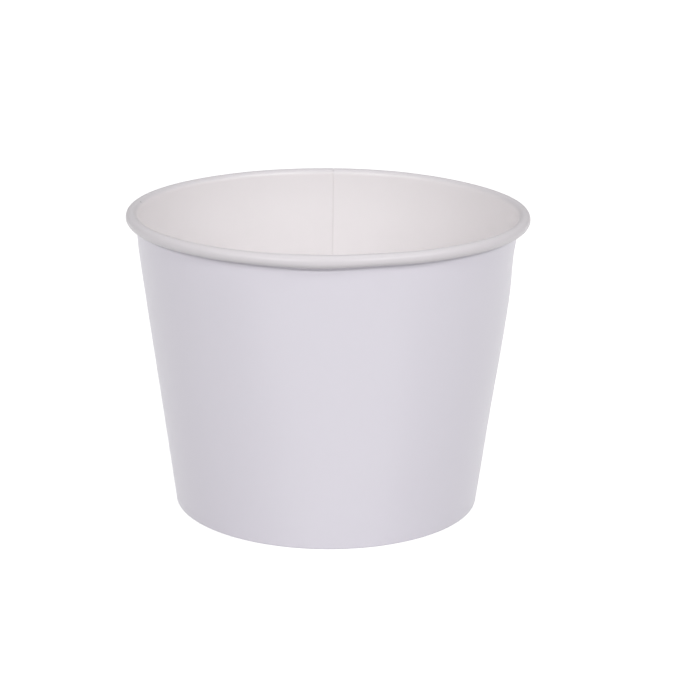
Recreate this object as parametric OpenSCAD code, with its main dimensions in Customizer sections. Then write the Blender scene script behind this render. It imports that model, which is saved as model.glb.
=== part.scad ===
// Round paper food bucket with a rolled rim.
// One blank of coated board is wrapped into a cone and sealed along a lap, its top edge is rolled
// outwards into the rim, and its bottom edge is hemmed in around the flange of a recessed base disc.
// Millimetres. +Z is up, the origin is the centre of the foot and the lap seam stands on the +Y side.

/* [Rim] */
// Outside diameter of the rolled rim, which the lid grips
rim_d = 222; // [206:1:240]
// Outside diameter of the roll's round section
roll_d = 6.4; // [5.4:0.1:7.6]
// Turn of the tucked tail past the lowest point of the roll, in degrees
tail_turn = 150; // [120:5:175]
// Clear gap between the tucked tail and the wall
tail_gap = 0.15; // [0.1:0.05:0.3]

/* [Side wall] */
// Overall height, from the foot to the top of the roll
height = 167; // [120:1:210]
// Outside diameter of the wall where it meets the ground
foot_d = 171; // [150:1:186]
// Thickness of the side wall's board
wall_t = 0.5; // [0.35:0.05:0.65]
// Height below the roll's centre at which the wall's slant, if it ran on straight, would turn upright
neck_drop = 11.5; // [8:0.5:18]

/* [Base] */
// Height of the base disc's upper face above the ground
floor_h = 9; // [6:0.5:16]
// Thickness of the base disc's board
base_t = 0.4; // [0.3:0.05:0.55]
// Inside radius of the bend between the disc and its flange
base_bend_r = 0.5; // [0.3:0.1:1.2]
// Clearance for the sealing film on each face of the flange
seal_gap = 0.05; // [0.04:0.01:0.1]
// Clear gap between the flange's lower edge and the foot's fold
flange_gap = 0.3; // [0.1:0.1:1]
// Clear gap between the hem's cut edge and the bend of the base disc
hem_gap = 0.9; // [0.5:0.1:1.8]
// Inside radius of the foot's creases
crease_r = 0.05; // [0.03:0.01:0.12]

/* [Lap seam] */
// Width of the lap, where the two ends of the blank overlap
lap_w = 10; // [7:0.5:14]
// Width over which the outer ply slopes down to the wall beyond the inner ply's end
ramp_w = 6; // [5:0.5:7]
// Width of the groove left inside along the inner ply's cut end
groove_w = 0.4; // [0.3:0.05:0.8]
// Depth of that groove
groove_depth = 0.2; // [0.1:0.05:0.25]
// Height of the lap's lower end, under which the plies are pressed flat into the foot's crease
lap_foot = 1; // [0.8:0.1:2]

/* [Hidden] */

// Segments of a full turn about the bucket's axis, and steps along each bend of the section
$fn = 180;
roll_steps = 27;
tail_steps = 15;
neck_steps = 8;
fold_steps = 6;

board_colour = [0.93, 0.925, 0.945];
base_colour = [0.91, 0.905, 0.915];

// Roll: centre of its section, radius of the board's middle line round it, and the smaller tail
roll_at = [rim_d / 2 - roll_d / 2, height - roll_d / 2];
roll_r = roll_d / 2 - wall_t / 2;
tail_r = roll_r - wall_t - tail_gap;
tail_at = roll_at + [0, tail_r - roll_r];

// Wall: its middle line runs straight from the foot to a knee below the roll
knee = [roll_at.x - roll_r, roll_at.y - neck_drop];
knee_from_foot = knee - [foot_d / 2, 0];
lean = atan2(knee_from_foot.x, knee_from_foot.y) + asin(wall_t / 2 / norm(knee_from_foot));
wall_foot_x = foot_d / 2 - wall_t / 2 / cos(lean);

// Neck: the wide bend that takes the knee's place and ends at the roll's innermost point
neck_r = neck_drop / tan(lean / 2);
neck_at = [knee.x - neck_r, roll_at.y];

// Foot: two creases with a flat between them, as far apart as the plies and the flange are thick
fold_r = wall_t / 2 + crease_r;
ply_pitch = wall_t + base_t + 2 * seal_gap;
outer_fold_at = inside_wall(fold_r, wall_t / 2 + fold_r);
inner_fold_at = inside_wall(ply_pitch - fold_r, wall_t / 2 + fold_r);
hem_top = floor_h - base_t - base_bend_r - hem_gap;

// Base disc: middle line of its flange and bend
bend_r = base_bend_r + base_t / 2;
flange_in = wall_t / 2 + seal_gap + base_t / 2;
bend_at = inside_wall(flange_in + bend_r, floor_h - base_t / 2 - bend_r);
flange_foot = inside_wall(flange_in, wall_t + flange_gap);

// Lap: the outer ply's face lies one ply outside the wall's own face, and stops level with the
// underside of the roll. The ramp drops by one ply, and by the wall's curve over the ramp's width.
// The groove runs on over the roll, almost to its underside.
lap_face_out = wall_t / 2 + wall_t;
lap_top_angle = -asin(roll_d / 2 / neck_r);
mean_wall_r = (rim_d + foot_d) / 4;
ramp_turn = atan((wall_t + ramp_w * ramp_w / (2 * mean_wall_r)) / ramp_w);
ramp_cuts = 3;
strip_half_turn = asin((lap_w + ramp_w) / (foot_d / 2 - wall_t));
groove_end_angle = -85;

// Point at height z on the line that runs d inside the wall's middle line
function inside_wall(d, z) = [wall_foot_x + z * tan(lean) - d / cos(lean), z];

// Points along an arc, with both of its ends
function arc(centre, r, from, to, steps) =
    [for (i = [0 : steps]) centre + r * [cos(from + (to - from) * i / steps), sin(from + (to - from) * i / steps)]];
function without_first(points) = [for (i = [1 : len(points) - 1]) points[i]];
function backwards(points) = [for (i = [len(points) - 1 : -1 : 0]) points[i]];

// Stretches of the side wall's section at a distance o from the board's middle line.
// o is positive on the side that faces outwards on the wall and into the hollow on the roll.
function hem(o) = [inside_wall(ply_pitch, hem_top) + o * [-cos(lean), sin(lean)]];
function fold(o) = concat(
    arc(inner_fold_at, fold_r + o, 180 - lean, 270, fold_steps),
    arc(outer_fold_at, fold_r + o, 270, 360 - lean, fold_steps)
);
function neck(o, end) = arc(neck_at, neck_r + o, -lean, end, neck_steps);
function roll(o, end) = without_first(arc(roll_at, roll_r - o, 180, end, roll_steps));
function tail(o) = without_first(arc(tail_at, tail_r - o, -90, -90 - tail_turn, tail_steps));

// The whole blank's section, the part of it that the groove follows, and the lap's outer ply
function blank(o) = concat(hem(o), fold(o), neck(o, 0), roll(o, -90), tail(o));
function lap_start(o) = [inside_wall(0, lap_foot) + o * [cos(lean), -sin(lean)]];
function food_face(o) = concat(lap_start(o), neck(o, 0), roll(o, groove_end_angle));
function lap_face(o) = concat(lap_start(o), neck(o, lap_top_angle));

// The base disc's section at a distance o below its middle line
function disc(o) = concat(
    [[0, floor_h - base_t / 2 - o]],
    arc(bend_at, bend_r - o, 90, -lean, fold_steps),
    [flange_foot + o * [-cos(lean), sin(lean)]]
);

// Upright strip of a turned shape on the +Y side, between two planes square to X
module strip(points, from_x, to_x) {
    intersection() {
        rotate([0, 0, 90 - strip_half_turn])
            rotate_extrude(angle = 2 * strip_half_turn)
                polygon(points);
        translate([from_x, 0, 0])
            cube([to_x - from_x, rim_d / 2, height]);
    }
}

// Everything outside the plane on which the outer ply slopes down, met at one angle of the neck
module outside_ramp(angle) {
    at = neck_at + (neck_r + lap_face_out) * [cos(angle), sin(angle)];
    translate([0, at.x, at.y])
        rotate([angle - 90, 0, 0])
            rotate([0, ramp_turn, 0])
                translate([-lap_w, -2 * height, 0])
                    cube([2 * lap_w + ramp_w, 4 * height, lap_w]);
}

// Outer ply of the lap: a square edge on its free side and a ramp beyond the inner ply's end
module lap_ply() {
    difference() {
        strip(concat(lap_face(0), backwards(lap_face(lap_face_out))), -lap_w, ramp_w);
        for (i = [0 : ramp_cuts - 1])
            outside_ramp(-lean * (1 - i / (ramp_cuts - 1)));
    }
}

// Groove along the inner ply's cut end, inside the bucket and over the roll
module inner_ply_groove() {
    strip(concat(food_face(groove_depth - wall_t / 2), backwards(food_face(-wall_t))), 0, groove_w);
}

module side_wall() {
    color(board_colour)
        difference() {
            union() {
                rotate_extrude()
                    polygon(concat(blank(wall_t / 2), backwards(blank(-wall_t / 2))));
                lap_ply();
            }
            inner_ply_groove();
        }
}

module base_disc() {
    color(base_colour)
        rotate_extrude()
            polygon(concat(disc(-base_t / 2), backwards(disc(base_t / 2))));
}

side_wall();
base_disc();
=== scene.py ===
import math

import bmesh
import bpy
import numpy as np
from mathutils import Matrix, Vector


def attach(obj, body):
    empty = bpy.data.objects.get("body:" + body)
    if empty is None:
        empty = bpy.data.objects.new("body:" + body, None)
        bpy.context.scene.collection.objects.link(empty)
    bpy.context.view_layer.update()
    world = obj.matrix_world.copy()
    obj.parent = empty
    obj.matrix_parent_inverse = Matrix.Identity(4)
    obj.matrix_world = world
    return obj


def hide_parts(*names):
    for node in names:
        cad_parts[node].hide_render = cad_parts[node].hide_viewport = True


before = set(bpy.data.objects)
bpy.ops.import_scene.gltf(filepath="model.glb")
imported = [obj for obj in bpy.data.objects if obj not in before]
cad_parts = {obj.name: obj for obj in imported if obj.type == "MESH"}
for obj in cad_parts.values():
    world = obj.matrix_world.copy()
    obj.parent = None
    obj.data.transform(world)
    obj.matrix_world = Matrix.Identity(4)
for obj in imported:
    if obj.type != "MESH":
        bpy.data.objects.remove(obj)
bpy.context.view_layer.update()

# Side wall: one blank of coated paper board, wrapped into a cone and heat-sealed along a lap.
# Its top edge is rolled outwards into the rim, with the tail tucked inside the roll, and its
# bottom edge is folded in and up as a hem that holds the base's flange.
rim_d = 0.222
roll_d = 0.0064
tail_turn = 150
tail_gap = 0.00015
height = 0.167
foot_d = 0.171
wall_t = 0.0005
neck_drop = 0.0115
floor_h = 0.009
base_t = 0.0004
base_bend_r = 0.0005
seal_gap = 0.00005
hem_gap = 0.0009
crease_r = 0.00005

roll_at = np.array([rim_d / 2 - roll_d / 2, height - roll_d / 2])
roll_r = roll_d / 2 - wall_t / 2
tail_r = roll_r - wall_t - tail_gap
tail_at = roll_at + [0, tail_r - roll_r]
knee = roll_at - [roll_r, neck_drop]
knee_from_foot = knee - [foot_d / 2, 0]
tilt = math.atan2(*knee_from_foot) + math.asin(wall_t / 2 / math.hypot(*knee_from_foot))
lean = math.degrees(tilt)
out_of_wall = np.array([math.cos(tilt), -math.sin(tilt)])
wall_foot_x = foot_d / 2 - wall_t / 2 / math.cos(tilt)
neck_r = neck_drop / math.tan(tilt / 2)
neck_at = np.array([knee[0] - neck_r, roll_at[1]])


def inside_wall(depth, z):
    """Point at height z on the line that runs depth inside the wall's middle line."""
    return np.array([wall_foot_x + z * math.tan(tilt) - depth / math.cos(tilt), z])


def arc(centre, radius, angles):
    """Rows of (r, z, normal r, normal z) on an arc: the place is centre + radius (cos a, sin a),
    and the normal is (cos a, sin a)."""
    a = np.radians(angles)
    ray = np.column_stack([np.cos(a), np.sin(a)])
    return np.hstack([centre + radius * ray, ray])


def curl(centre, radius, angles):
    """The same arc with its normals turned to the centre, for board that rolls the other way."""
    return arc(centre, radius, angles) * [1, 1, -1, -1]


def run(first, last, parts):
    """Rows on the straight line from one row to another, at the given parts of its length."""
    t = np.asarray(parts)[:, None]
    return first * (1 - t) + last * t


fold_r = wall_t / 2 + crease_r
ply_pitch = wall_t + base_t + 2 * seal_gap
outer_fold_at = inside_wall(fold_r, wall_t / 2 + fold_r)
inner_fold_at = inside_wall(ply_pitch - fold_r, wall_t / 2 + fold_r)
hem_top = floor_h - base_t - base_bend_r - hem_gap

# The board's middle line, from the hem's cut edge under the base to the tail inside the roll
neck_angles = np.concatenate([np.linspace(-lean, -1.1, 10), [-0.83, -0.72, -0.6, -0.3, 0]])
roll_angles = np.linspace(180, -90, 33)[1:]
tail_angles = np.linspace(-90, -90 - tail_turn, 13)[1:]
inner_fold = arc(inner_fold_at, fold_r, np.linspace(180 - lean, 270, 6))
outer_fold = arc(outer_fold_at, fold_r, np.linspace(270, 360 - lean, 7))
neck = arc(neck_at, neck_r, neck_angles)
hem_end = np.concatenate([inside_wall(ply_pitch, hem_top), -out_of_wall])
hem = np.vstack([
    run(hem_end, inner_fold[0], [0, 0.25, 0.5, 0.75]),
    inner_fold,
    run(inner_fold[-1], outer_fold[0], [0.5]),
    outer_fold,
])
wall = np.vstack([
    run(outer_fold[-1], neck[0], [0.004, 0.008, 0.013]),
    run(outer_fold[-1], neck[0], np.linspace(0.02, 1, 38)[:-1]),
    neck,
])
rolled = np.vstack([curl(roll_at, roll_r, roll_angles), curl(tail_at, tail_r, tail_angles)])
path = np.vstack([hem, wall, rolled])
on_wall = np.concatenate([np.zeros(len(hem)), np.ones(len(wall)), np.zeros(len(rolled))])
on_roll = np.concatenate([np.zeros(len(hem) + len(wall)), np.ones(len(rolled))])
roll_turned = np.concatenate([np.full(len(hem) + len(wall), 180), roll_angles, tail_angles])
path_r, path_z, normal_r, normal_z = (path[:, k, None] for k in range(4))

# Columns round the bucket: about a degree apart, and close together where the lap's edges are
lap_w = 0.010
ramp_w = 0.006
groove_w = 0.0009
groove_depth = 0.00028
edge_w = 0.00003
seam_zone = 0.012
seam_fade = 0.028
lap_columns = 0.001 * np.array([
    -12, -11, -10.4, -10, -9.6, -8.8, -7.5, -6, -4.5, -3, -1.6, -0.7, -0.25, 0, 0.14, 0.28,
    0.42, 0.56, 0.72, 0.9, 1.2, 1.8, 2.5, 3.3, 4.1, 5, 6, 7.2, 8.6, 10.2, 12,
])
mean_r = 0.095
half_round = math.pi * mean_r
far_columns = np.linspace(seam_zone, half_round, 168)[1:-1]
across = np.sort(np.concatenate([
    -far_columns, lap_columns, far_columns, [-half_round, -lap_w - edge_w, edge_w],
]))


def ease(x):
    """Smooth step from 0 to 1: 3 x^2 - 2 x^3, with x held between 0 and 1."""
    x = np.clip(x, 0, 1)
    return x * x * (3 - 2 * x)


def hump(x, centre, width):
    """Smooth hump of height 1 round a centre: exp(-((x - centre) / width)^2 / 2)."""
    return np.exp(-((x - centre) / width) ** 2 / 2)


# A column keeps its distance from the seam near the lap, and its angle elsewhere
near_seam = 1 - ease((np.abs(across) - seam_zone) / seam_fade)
turn = across / (mean_r + near_seam * (path_r - mean_r))
turn_deg = np.degrees(turn)
front_deg = (360 - turn_deg) % 360 - 180

# Small faults of this bucket: the wall is drawn in below the right side of the rim, the rim's front
# stands a little high right of the middle and is fullest at the middle, and the wall waves faintly
below_roll = roll_at[1] - path_z
right_side = hump(turn_deg, 95, 25)
drawn_in = right_side * (
    0.0015 * hump(below_roll, 0.019, 0.010) * np.clip(below_roll / 0.006, 0, 1)
    - 0.0003 * hump(below_roll, 0.070, 0.018)
)
clear_of_foot = ease((path_z - 0.012) / 0.04)
wave = clear_of_foot * (
    0.00012 * np.sin(3 * turn + 0.6)
    + 0.00008 * np.sin(5 * turn + 30 * path_z)
    + 0.00004 * np.sin(11 * turn - 45 * path_z)
)
lift = ease((path_z - 0.125) / 0.035) * (
    0.00055 * hump(front_deg, 15, 8) + 0.0004 * hump(front_deg, 38, 11)
    + 0.00022 * hump(turn_deg, 8, 22)
    - 0.0004 * hump(turn_deg, 50, 15)
    - 0.0002 * hump(turn_deg, -48, 12)
)
swell_rows = np.interp(roll_turned, [-150, -90, 90, 180], [0, 1, 1, 0])[:, None]
swell = swell_rows * 0.00035 * hump(front_deg, -3, 7)
middle_r = path_r - drawn_in + wave - swell * normal_r
middle_z = path_z + lift - swell * normal_z

# Outer face: the lap's outer ply lies over the inner one, with a square cut edge on one side and a
# slope on the other. Food side: a fine groove beside the inner ply's cut end crosses the roll too.
lap_start = 0.0006
lap_start_fade = 0.0012
lap_top = 0.1619
lap_top_fade = 0.0007
above_foot = ease((path[:, 1] - lap_start) / lap_start_fade)
under_rim = np.clip((lap_top - path[:, 1]) / lap_top_fade, 0, 1)
lap_rows = (on_wall * above_foot * under_rim)[:, None]
lap_rise = wall_t * lap_rows * np.where(across < -lap_w, 0, 1 - ease(across / ramp_w))
over_roll = np.clip((roll_turned + 89) / 4, 0, 1)
groove_rows = (on_wall * above_foot + on_roll * over_roll)[:, None]
groove = groove_depth * groove_rows * np.where(across < edge_w, 0, 1 - ease(across / groove_w))


def board_face(distance):
    """Points on a face of the board: middle line + distance x normal, turned about the axis by each
    column's angle."""
    r = middle_r + distance * normal_r
    z = middle_z + distance * normal_z
    return np.stack([r * np.sin(turn), r * np.cos(turn), z + np.zeros_like(r)], axis=2)


def board_mesh(name, grid, poles=False):
    """Mesh over a grid of points, with one face between each four neighbours, row by row. Its
    columns close round the axis. Its rows close into a ring too, or else the first and last rows are
    poles, each merged into one point."""
    rows, columns = grid.shape[:2]
    index = np.arange(rows * columns).reshape(rows, columns)
    if not poles:
        index = np.vstack([index, index[:1]])
    index = np.hstack([index, index[:, :1]])
    quads = np.stack([index[:-1, :-1], index[1:, :-1], index[1:, 1:], index[:-1, 1:]], axis=2)
    mesh = bpy.data.meshes.new(name)
    mesh.from_pydata(grid.reshape(-1, 3), [], quads.reshape(-1, 4))
    if poles:
        merged = bmesh.new()
        merged.from_mesh(mesh)
        bmesh.ops.remove_doubles(merged, verts=merged.verts, dist=1e-7)
        merged.to_mesh(mesh)
        merged.free()
    mesh.shade_smooth()
    mesh.set_sharp_from_angle(angle=math.radians(40))
    piece = bpy.data.objects.new(name, mesh)
    bpy.context.scene.collection.objects.link(piece)
    return piece


outer_face = board_face(wall_t / 2 + lap_rise)
food_face = board_face(groove - wall_t / 2)
side_wall = board_mesh("side_wall_board", np.vstack([outer_face, food_face[::-1]]))

# Which finish each face of the mesh has, and a UV map in metres: round the bucket, along the blank
rows, columns = 2 * len(path), len(across)
path_length = np.concatenate([[0], np.cumsum(np.hypot(*np.diff(path[:, :2], axis=0).T))])
u = np.append(across, 2 * half_round + across[0])
v = np.concatenate([path_length, path_length[::-1], path_length[:1]])
corner = np.array([[0, 0], [1, 0], [1, 1], [0, 1]])
row_of = np.arange(rows)[:, None, None] + corner[:, 0]
column_of = np.arange(columns)[None, :, None] + corner[:, 1]
uv = np.stack([u[column_of + 0 * row_of], v[row_of + 0 * column_of]], axis=3)
blank_map = side_wall.data.uv_layers.new(name="blank")
blank_map.uv.foreach_set("vector", uv.reshape(-1).astype(np.float32))

OUTER, FOOD, CUT, KNURLED = range(4)
finish = np.full((rows, columns), OUTER)
finish[len(path):] = FOOD
finish[[len(path) - 1, rows - 1]] = CUT
finish[:4] = KNURLED
at_lap_edge = np.searchsorted(across, -lap_w - edge_w / 2) - 1
at_groove_wall = np.searchsorted(across, edge_w / 2) - 1
finish[:len(path) - 1, at_lap_edge] = np.where(lap_rows[:-1, 0] > 0, CUT, OUTER)
finish[len(path):-1, at_groove_wall] = CUT
side_wall.data.polygons.foreach_set("material_index", finish.reshape(-1).astype(np.int32))


def coated_board(name, tint, roughness, floc=0.012, relief=0.2):
    """White board under a thin satin film. The tint is clouded by pulp flocs a few millimetres wide
    and by single fibres, and the film follows the fibres in a faint relief."""
    board = bpy.data.materials.new(name)
    board.use_nodes = True
    nodes, links = board.node_tree.nodes, board.node_tree.links
    coat = nodes["Principled BSDF"]
    coat.inputs["IOR"].default_value = 1.5
    place = nodes.new("ShaderNodeTexCoord")

    flocs = nodes.new("ShaderNodeTexNoise")
    flocs.inputs["Scale"].default_value = 190
    flocs.inputs["Detail"].default_value = 4
    flocs.inputs["Roughness"].default_value = 0.6
    links.new(place.outputs["Object"], flocs.inputs["Vector"])

    fibres = nodes.new("ShaderNodeTexNoise")
    fibres.inputs["Scale"].default_value = 1500
    fibres.inputs["Detail"].default_value = 3
    fibres.inputs["Distortion"].default_value = 1.2
    links.new(place.outputs["Object"], fibres.inputs["Vector"])

    pulp = nodes.new("ShaderNodeMix")
    pulp.inputs["Factor"].default_value = 0.35
    links.new(flocs.outputs["Fac"], pulp.inputs["A"])
    links.new(fibres.outputs["Fac"], pulp.inputs["B"])
    cloud = nodes.new("ShaderNodeMapRange")
    cloud.inputs["To Min"].default_value = 1 - floc
    cloud.inputs["To Max"].default_value = 1 + floc
    links.new(pulp.outputs["Result"], cloud.inputs["Value"])
    colour = nodes.new("ShaderNodeVectorMath")
    colour.name = "colour"
    colour.operation = "SCALE"
    colour.inputs["Vector"].default_value = tint
    links.new(cloud.outputs["Result"], colour.inputs["Scale"])
    links.new(colour.outputs["Vector"], coat.inputs["Base Color"])

    film = nodes.new("ShaderNodeMapRange")
    film.name = "film"
    film.inputs["From Min"].default_value = 0.3
    film.inputs["From Max"].default_value = 0.7
    film.inputs["To Min"].default_value = roughness - 0.04
    film.inputs["To Max"].default_value = roughness + 0.04
    links.new(flocs.outputs["Fac"], film.inputs["Value"])
    links.new(film.outputs["Result"], coat.inputs["Roughness"])

    grain = nodes.new("ShaderNodeBump")
    grain.inputs["Strength"].default_value = relief
    grain.inputs["Distance"].default_value = 0.00004
    links.new(fibres.outputs["Fac"], grain.inputs["Height"])
    links.new(grain.outputs["Normal"], coat.inputs["Normal"])
    return board


outer_board = coated_board("outer_board", (0.775, 0.745, 0.815), 0.33)
cut_board = coated_board("cut_board", (0.66, 0.63, 0.62), 0.8, floc=0.05, relief=0.8)

# Painted light: the food side's tint is raised for light coming through the thin wall. Painted
# shade: the thick roll's tint, of the same board, is lowered
food_tint_with_painted_light = (0.880, 0.847, 0.857)
roll_tint_with_painted_shade = (0.718, 0.685, 0.712)
food_roughness = 0.34
food_side_board = coated_board("food_side_board", food_tint_with_painted_light, food_roughness)
nodes, links = food_side_board.node_tree.nodes, food_side_board.node_tree.links
roll_start = path_length[len(hem) + len(wall) - 1]
along_blank = nodes.new("ShaderNodeUVMap")
along_blank.uv_map = "blank"
blank_axes = nodes.new("ShaderNodeSeparateXYZ")
links.new(along_blank.outputs["UV"], blank_axes.inputs["Vector"])
onto_roll = nodes.new("ShaderNodeMapRange")
onto_roll.interpolation_type = "SMOOTHSTEP"
onto_roll.inputs["From Min"].default_value = roll_start
onto_roll.inputs["From Max"].default_value = roll_start + roll_r * math.radians(55)
links.new(blank_axes.outputs["Y"], onto_roll.inputs["Value"])
# Mix from the food side's painted light to the roll's painted shade, over the start of the roll
painted_light_to_shade = nodes.new("ShaderNodeMix")
painted_light_to_shade.data_type = "RGBA"
painted_light_to_shade.inputs["A"].default_value = (*food_tint_with_painted_light, 1)
painted_light_to_shade.inputs["B"].default_value = (*roll_tint_with_painted_shade, 1)
links.new(onto_roll.outputs["Result"], painted_light_to_shade.inputs["Factor"])

# One small dark spot darkens the roll's inner side, at the left
speck_at = (-0.1050, 0.0131, 0.1662)
from_speck = nodes.new("ShaderNodeVectorMath")
from_speck.operation = "DISTANCE"
from_speck.inputs[1].default_value = speck_at
links.new(nodes["Texture Coordinate"].outputs["Object"], from_speck.inputs[0])
speck = nodes.new("ShaderNodeMapRange")
speck.inputs["From Min"].default_value = 0.0003
speck.inputs["From Max"].default_value = 0.0007
speck.inputs["To Min"].default_value = 0.45
speck.inputs["To Max"].default_value = 1
links.new(from_speck.outputs["Value"], speck.inputs["Value"])
speckled = nodes.new("ShaderNodeVectorMath")
speckled.operation = "SCALE"
links.new(painted_light_to_shade.outputs["Result"], speckled.inputs["Vector"])
links.new(speck.outputs["Result"], speckled.inputs["Scale"])
links.new(speckled.outputs["Vector"], nodes["colour"].inputs["Vector"])

# Curling leaves fine shallow creases across the roll
crease_place = nodes.new("ShaderNodeMapping")
crease_place.inputs["Scale"].default_value = (300, 45, 1)
links.new(along_blank.outputs["UV"], crease_place.inputs["Vector"])
creases = nodes.new("ShaderNodeTexNoise")
creases.inputs["Scale"].default_value = 1
creases.inputs["Detail"].default_value = 2
links.new(crease_place.outputs["Vector"], creases.inputs["Vector"])
crease_height = nodes.new("ShaderNodeMath")
crease_height.operation = "MULTIPLY"
links.new(creases.outputs["Fac"], crease_height.inputs[0])
links.new(onto_roll.outputs["Result"], crease_height.inputs[1])
creased = nodes.new("ShaderNodeBump")
creased.inputs["Strength"].default_value = 1
creased.inputs["Distance"].default_value = 0.00008
links.new(crease_height.outputs[0], creased.inputs["Height"])
links.new(creased.outputs["Normal"], nodes["Bump"].inputs["Normal"])

# The hem's face towards the axis carries the upright ribs of the wheel that pressed it
rib_count = 210
knurled_board = coated_board("knurled_board", (0.775, 0.745, 0.805), 0.42)
nodes, links = knurled_board.node_tree.nodes, knurled_board.node_tree.links
round_hem = nodes.new("ShaderNodeUVMap")
round_hem.uv_map = "blank"
ribs = nodes.new("ShaderNodeTexWave")
ribs.inputs["Scale"].default_value = rib_count / (2 * half_round) * 2 * math.pi / 20
links.new(round_hem.outputs["UV"], ribs.inputs["Vector"])
pressed = nodes.new("ShaderNodeBump")
pressed.inputs["Strength"].default_value = 1
pressed.inputs["Distance"].default_value = 0.00012
links.new(ribs.outputs["Fac"], pressed.inputs["Height"])
links.new(pressed.outputs["Normal"], nodes["Bump"].inputs["Normal"])

for board in (outer_board, food_side_board, cut_board, knurled_board):
    side_wall.data.materials.append(board)
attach(side_wall, "root")
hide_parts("side_wall")

# Base: a disc of thinner board with its edge drawn down into a flange, which is sealed between the
# wall and the hem. Film covers its upper side only, and the board has crowned slightly.
flange_gap = 0.0003
crown = 0.0003
bend_r = base_bend_r + base_t / 2
flange_in = wall_t / 2 + seal_gap + base_t / 2
bend_at = inside_wall(flange_in + bend_r, floor_h - base_t / 2 - bend_r)
bend = arc(bend_at, bend_r, np.linspace(90, -lean, 9))
flange_end = np.concatenate([inside_wall(flange_in, wall_t + flange_gap), out_of_wall])
disc_centre = np.array([0, floor_h - base_t / 2, 0, 1])
disc = np.vstack([
    run(disc_centre, bend[0], np.linspace(0, 1, 24)[:-1]),
    bend,
    run(bend[-1], flange_end, [0.33, 0.67, 1]),
])
disc_r, disc_z, disc_nr, disc_nz = (disc[:, k, None] for k in range(4))
disc_turn = np.linspace(0, 2 * math.pi, 180, endpoint=False)
flat_part = 1 - ease((disc_r - 0.040) / 0.042)
disc_wave = 0.00008 * ease(disc_r / 0.03) * np.sin(2 * disc_turn + 0.9)
disc_z = disc_z + flat_part * (crown + disc_wave)


def disc_face(distance):
    """Points on a face of the disc: middle line + distance x normal, turned about the axis."""
    r = disc_r + distance * disc_nr + 0 * disc_turn
    z = disc_z + distance * disc_nz
    return np.stack([r * np.sin(disc_turn), r * np.cos(disc_turn), z], axis=2)


base_faces = np.vstack([disc_face(-base_t / 2), disc_face(base_t / 2)[::-1]])
base = board_mesh("base_disc_board", base_faces, poles=True)
base_under_board = coated_board("base_under_board", (0.72, 0.70, 0.705), 0.7, floc=0.03, relief=0.5)
# The base's food side takes the same tint, raised as painted light
base_food_board = coated_board("base_food_board", food_tint_with_painted_light, food_roughness)
base.data.materials.append(base_food_board)
base.data.materials.append(base_under_board)
under = np.arange(len(base.data.polygons)) < len(base.data.polygons) // 2
base.data.polygons.foreach_set("material_index", under.astype(np.int32))
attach(base, "root")
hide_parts("base_disc")

# Studio: a wide floor in matt pale grey, which keeps the bucket's soft shadow. Its glow, which makes
# it white, shows only to the camera and in gloss or glass, and adds nothing to the diffuse light.
floor_half = 12
floor_z = -0.0002
floor_mesh = bpy.data.meshes.new("floor")
floor_mesh.from_pydata(
    [(-floor_half, -floor_half, floor_z), (floor_half, -floor_half, floor_z),
     (floor_half, floor_half, floor_z), (-floor_half, floor_half, floor_z)],
    [], [(0, 1, 2, 3)],
)
floor = bpy.data.objects.new("floor", floor_mesh)
bpy.context.scene.collection.objects.link(floor)
white_sweep = bpy.data.materials.new("white_sweep")
white_sweep.use_nodes = True
nodes, links = white_sweep.node_tree.nodes, white_sweep.node_tree.links
nodes.remove(nodes["Principled BSDF"])
paint = nodes.new("ShaderNodeBsdfDiffuse")
paint.inputs["Color"].default_value = (0.55, 0.55, 0.55, 1)
seen = nodes.new("ShaderNodeLightPath")
seen_or_glossy = nodes.new("ShaderNodeMath")
seen_or_glossy.operation = "MAXIMUM"
any_view = nodes.new("ShaderNodeMath")
any_view.operation = "MAXIMUM"
floor_glow = 0.78
glow_strength = nodes.new("ShaderNodeMath")
glow_strength.operation = "MULTIPLY"
glow_strength.inputs[1].default_value = floor_glow
glow = nodes.new("ShaderNodeEmission")
painted_glow = nodes.new("ShaderNodeAddShader")
links.new(seen.outputs["Is Camera Ray"], seen_or_glossy.inputs[0])
links.new(seen.outputs["Is Glossy Ray"], seen_or_glossy.inputs[1])
links.new(seen_or_glossy.outputs[0], any_view.inputs[0])
links.new(seen.outputs["Is Transmission Ray"], any_view.inputs[1])
links.new(any_view.outputs[0], glow_strength.inputs[0])
links.new(glow_strength.outputs[0], glow.inputs["Strength"])
links.new(paint.outputs[0], painted_glow.inputs[0])
links.new(glow.outputs[0], painted_glow.inputs[1])
links.new(painted_glow.outputs[0], nodes["Material Output"].inputs["Surface"])
floor_mesh.materials.append(white_sweep)

# World: the light of a white room, plain white where the camera sees it
room_light = 0.426
world = bpy.data.worlds.new("studio")
bpy.context.scene.world = world
world.use_nodes = True
nodes, links = world.node_tree.nodes, world.node_tree.links
room = nodes["Background"]
room.inputs["Color"].default_value = (1, 1, 1, 1)
seen_directly = nodes.new("ShaderNodeLightPath")
brightness = nodes.new("ShaderNodeMapRange")
brightness.inputs["To Min"].default_value = room_light
brightness.inputs["To Max"].default_value = 1
links.new(seen_directly.outputs["Is Camera Ray"], brightness.inputs["Value"])
links.new(brightness.outputs["Result"], room.inputs["Strength"])


def soft_box(name, centre, aim, width, depth, power):
    """Rectangular lamp at centre, facing aim, with its power in watts."""
    lamp = bpy.data.lights.new(name, "AREA")
    lamp.shape = "RECTANGLE"
    lamp.size = width
    lamp.size_y = depth
    lamp.energy = power
    holder = bpy.data.objects.new(name, lamp)
    holder.location = centre
    holder.rotation_euler = (Vector(aim) - Vector(centre)).to_track_quat("-Z", "Y").to_euler()
    bpy.context.scene.collection.objects.link(holder)
    return holder


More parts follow.
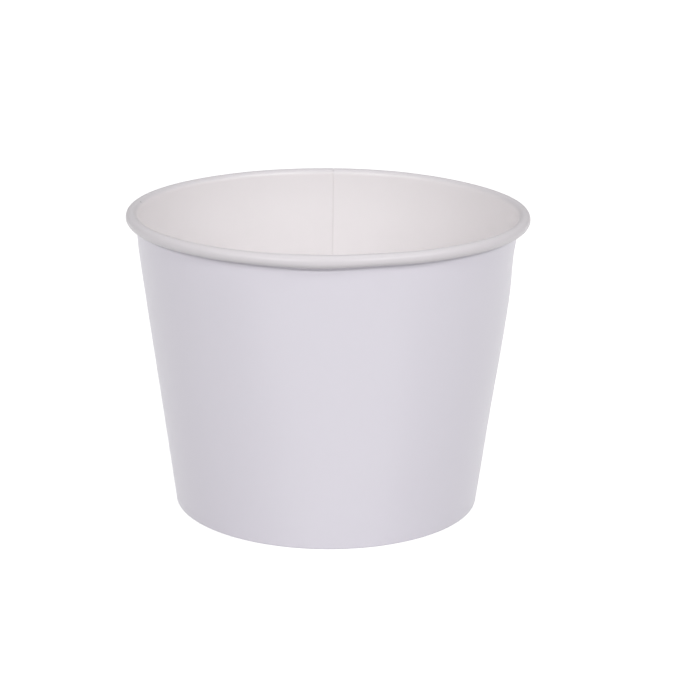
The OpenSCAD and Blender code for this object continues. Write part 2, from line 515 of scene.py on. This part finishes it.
# The boxes round the front are shallow, so that the rim's shadow on the wall is a fine dark line
bucket_middle = (0, 0, 0.10)
box_depth = 0.14
soft_box("front_left_box", (-1.255, -2.360, 1.462), bucket_middle, 1, box_depth, 19.6)
soft_box("front_right_box", (1.337, -2.315, 1.462), bucket_middle, 1, box_depth, 20.6)
soft_box("left_box", (-2.191, -1.265, 1.78), bucket_middle, 0.98, box_depth, 7.6)
soft_box("right_box", (2.191, -1.265, 1.78), bucket_middle, 0.98, box_depth, 12.1)
soft_box("top_box", (0, -0.2, 2.6), bucket_middle, 1.6, 1.6, 7.3)

# A glossy table would mirror a long lamp at the front, and so give the outer face a broad brighter
# band. A lamp at the mirrored place stands for that. It gives the bucket gloss alone.
glare_aim = (-0.55, -0.097, 0.10)
table_glare = soft_box("table_glare", (-0.11, -2.587, -1.78), glare_aim, 6.38, 0.3, 17.2)
table_glare.visible_diffuse = False
bucket = bpy.data.collections.new("bucket")
bucket.objects.link(side_wall)
bucket.objects.link(base)
table_glare.light_linking.receiver_collection = bucket
table_glare.light_linking.blocker_collection = bucket

# Camera: at the photograph's place, 17 degrees above the bucket, aimed at the middle of its height
camera_turn = math.radians(1.37)
camera_rise = math.radians(17.21)
camera_distance = 1.1437
camera_roll = math.radians(0.448)
aim = Vector((0, 0, 0.075))
back = Vector((
    math.sin(camera_turn) * math.cos(camera_rise),
    -math.cos(camera_turn) * math.cos(camera_rise),
    math.sin(camera_rise),
))
right = Vector((math.cos(camera_turn), math.sin(camera_turn), 0))
camera_data = bpy.data.cameras.new("camera")
camera_data.lens = 108.27
camera_data.sensor_width = 36
camera_data.shift_x = 0.0154
camera_data.shift_y = 0.0451
camera = bpy.data.objects.new("camera", camera_data)
axes = Matrix((right, back.cross(right), back)).transposed().to_4x4()
level_camera = Matrix.Translation(aim + camera_distance * back) @ axes
camera.matrix_world = level_camera @ Matrix.Rotation(camera_roll, 4, "Z")
bpy.context.scene.collection.objects.link(camera)
bpy.context.scene.camera = camera
bpy.context.scene.view_settings.view_transform = "Standard"
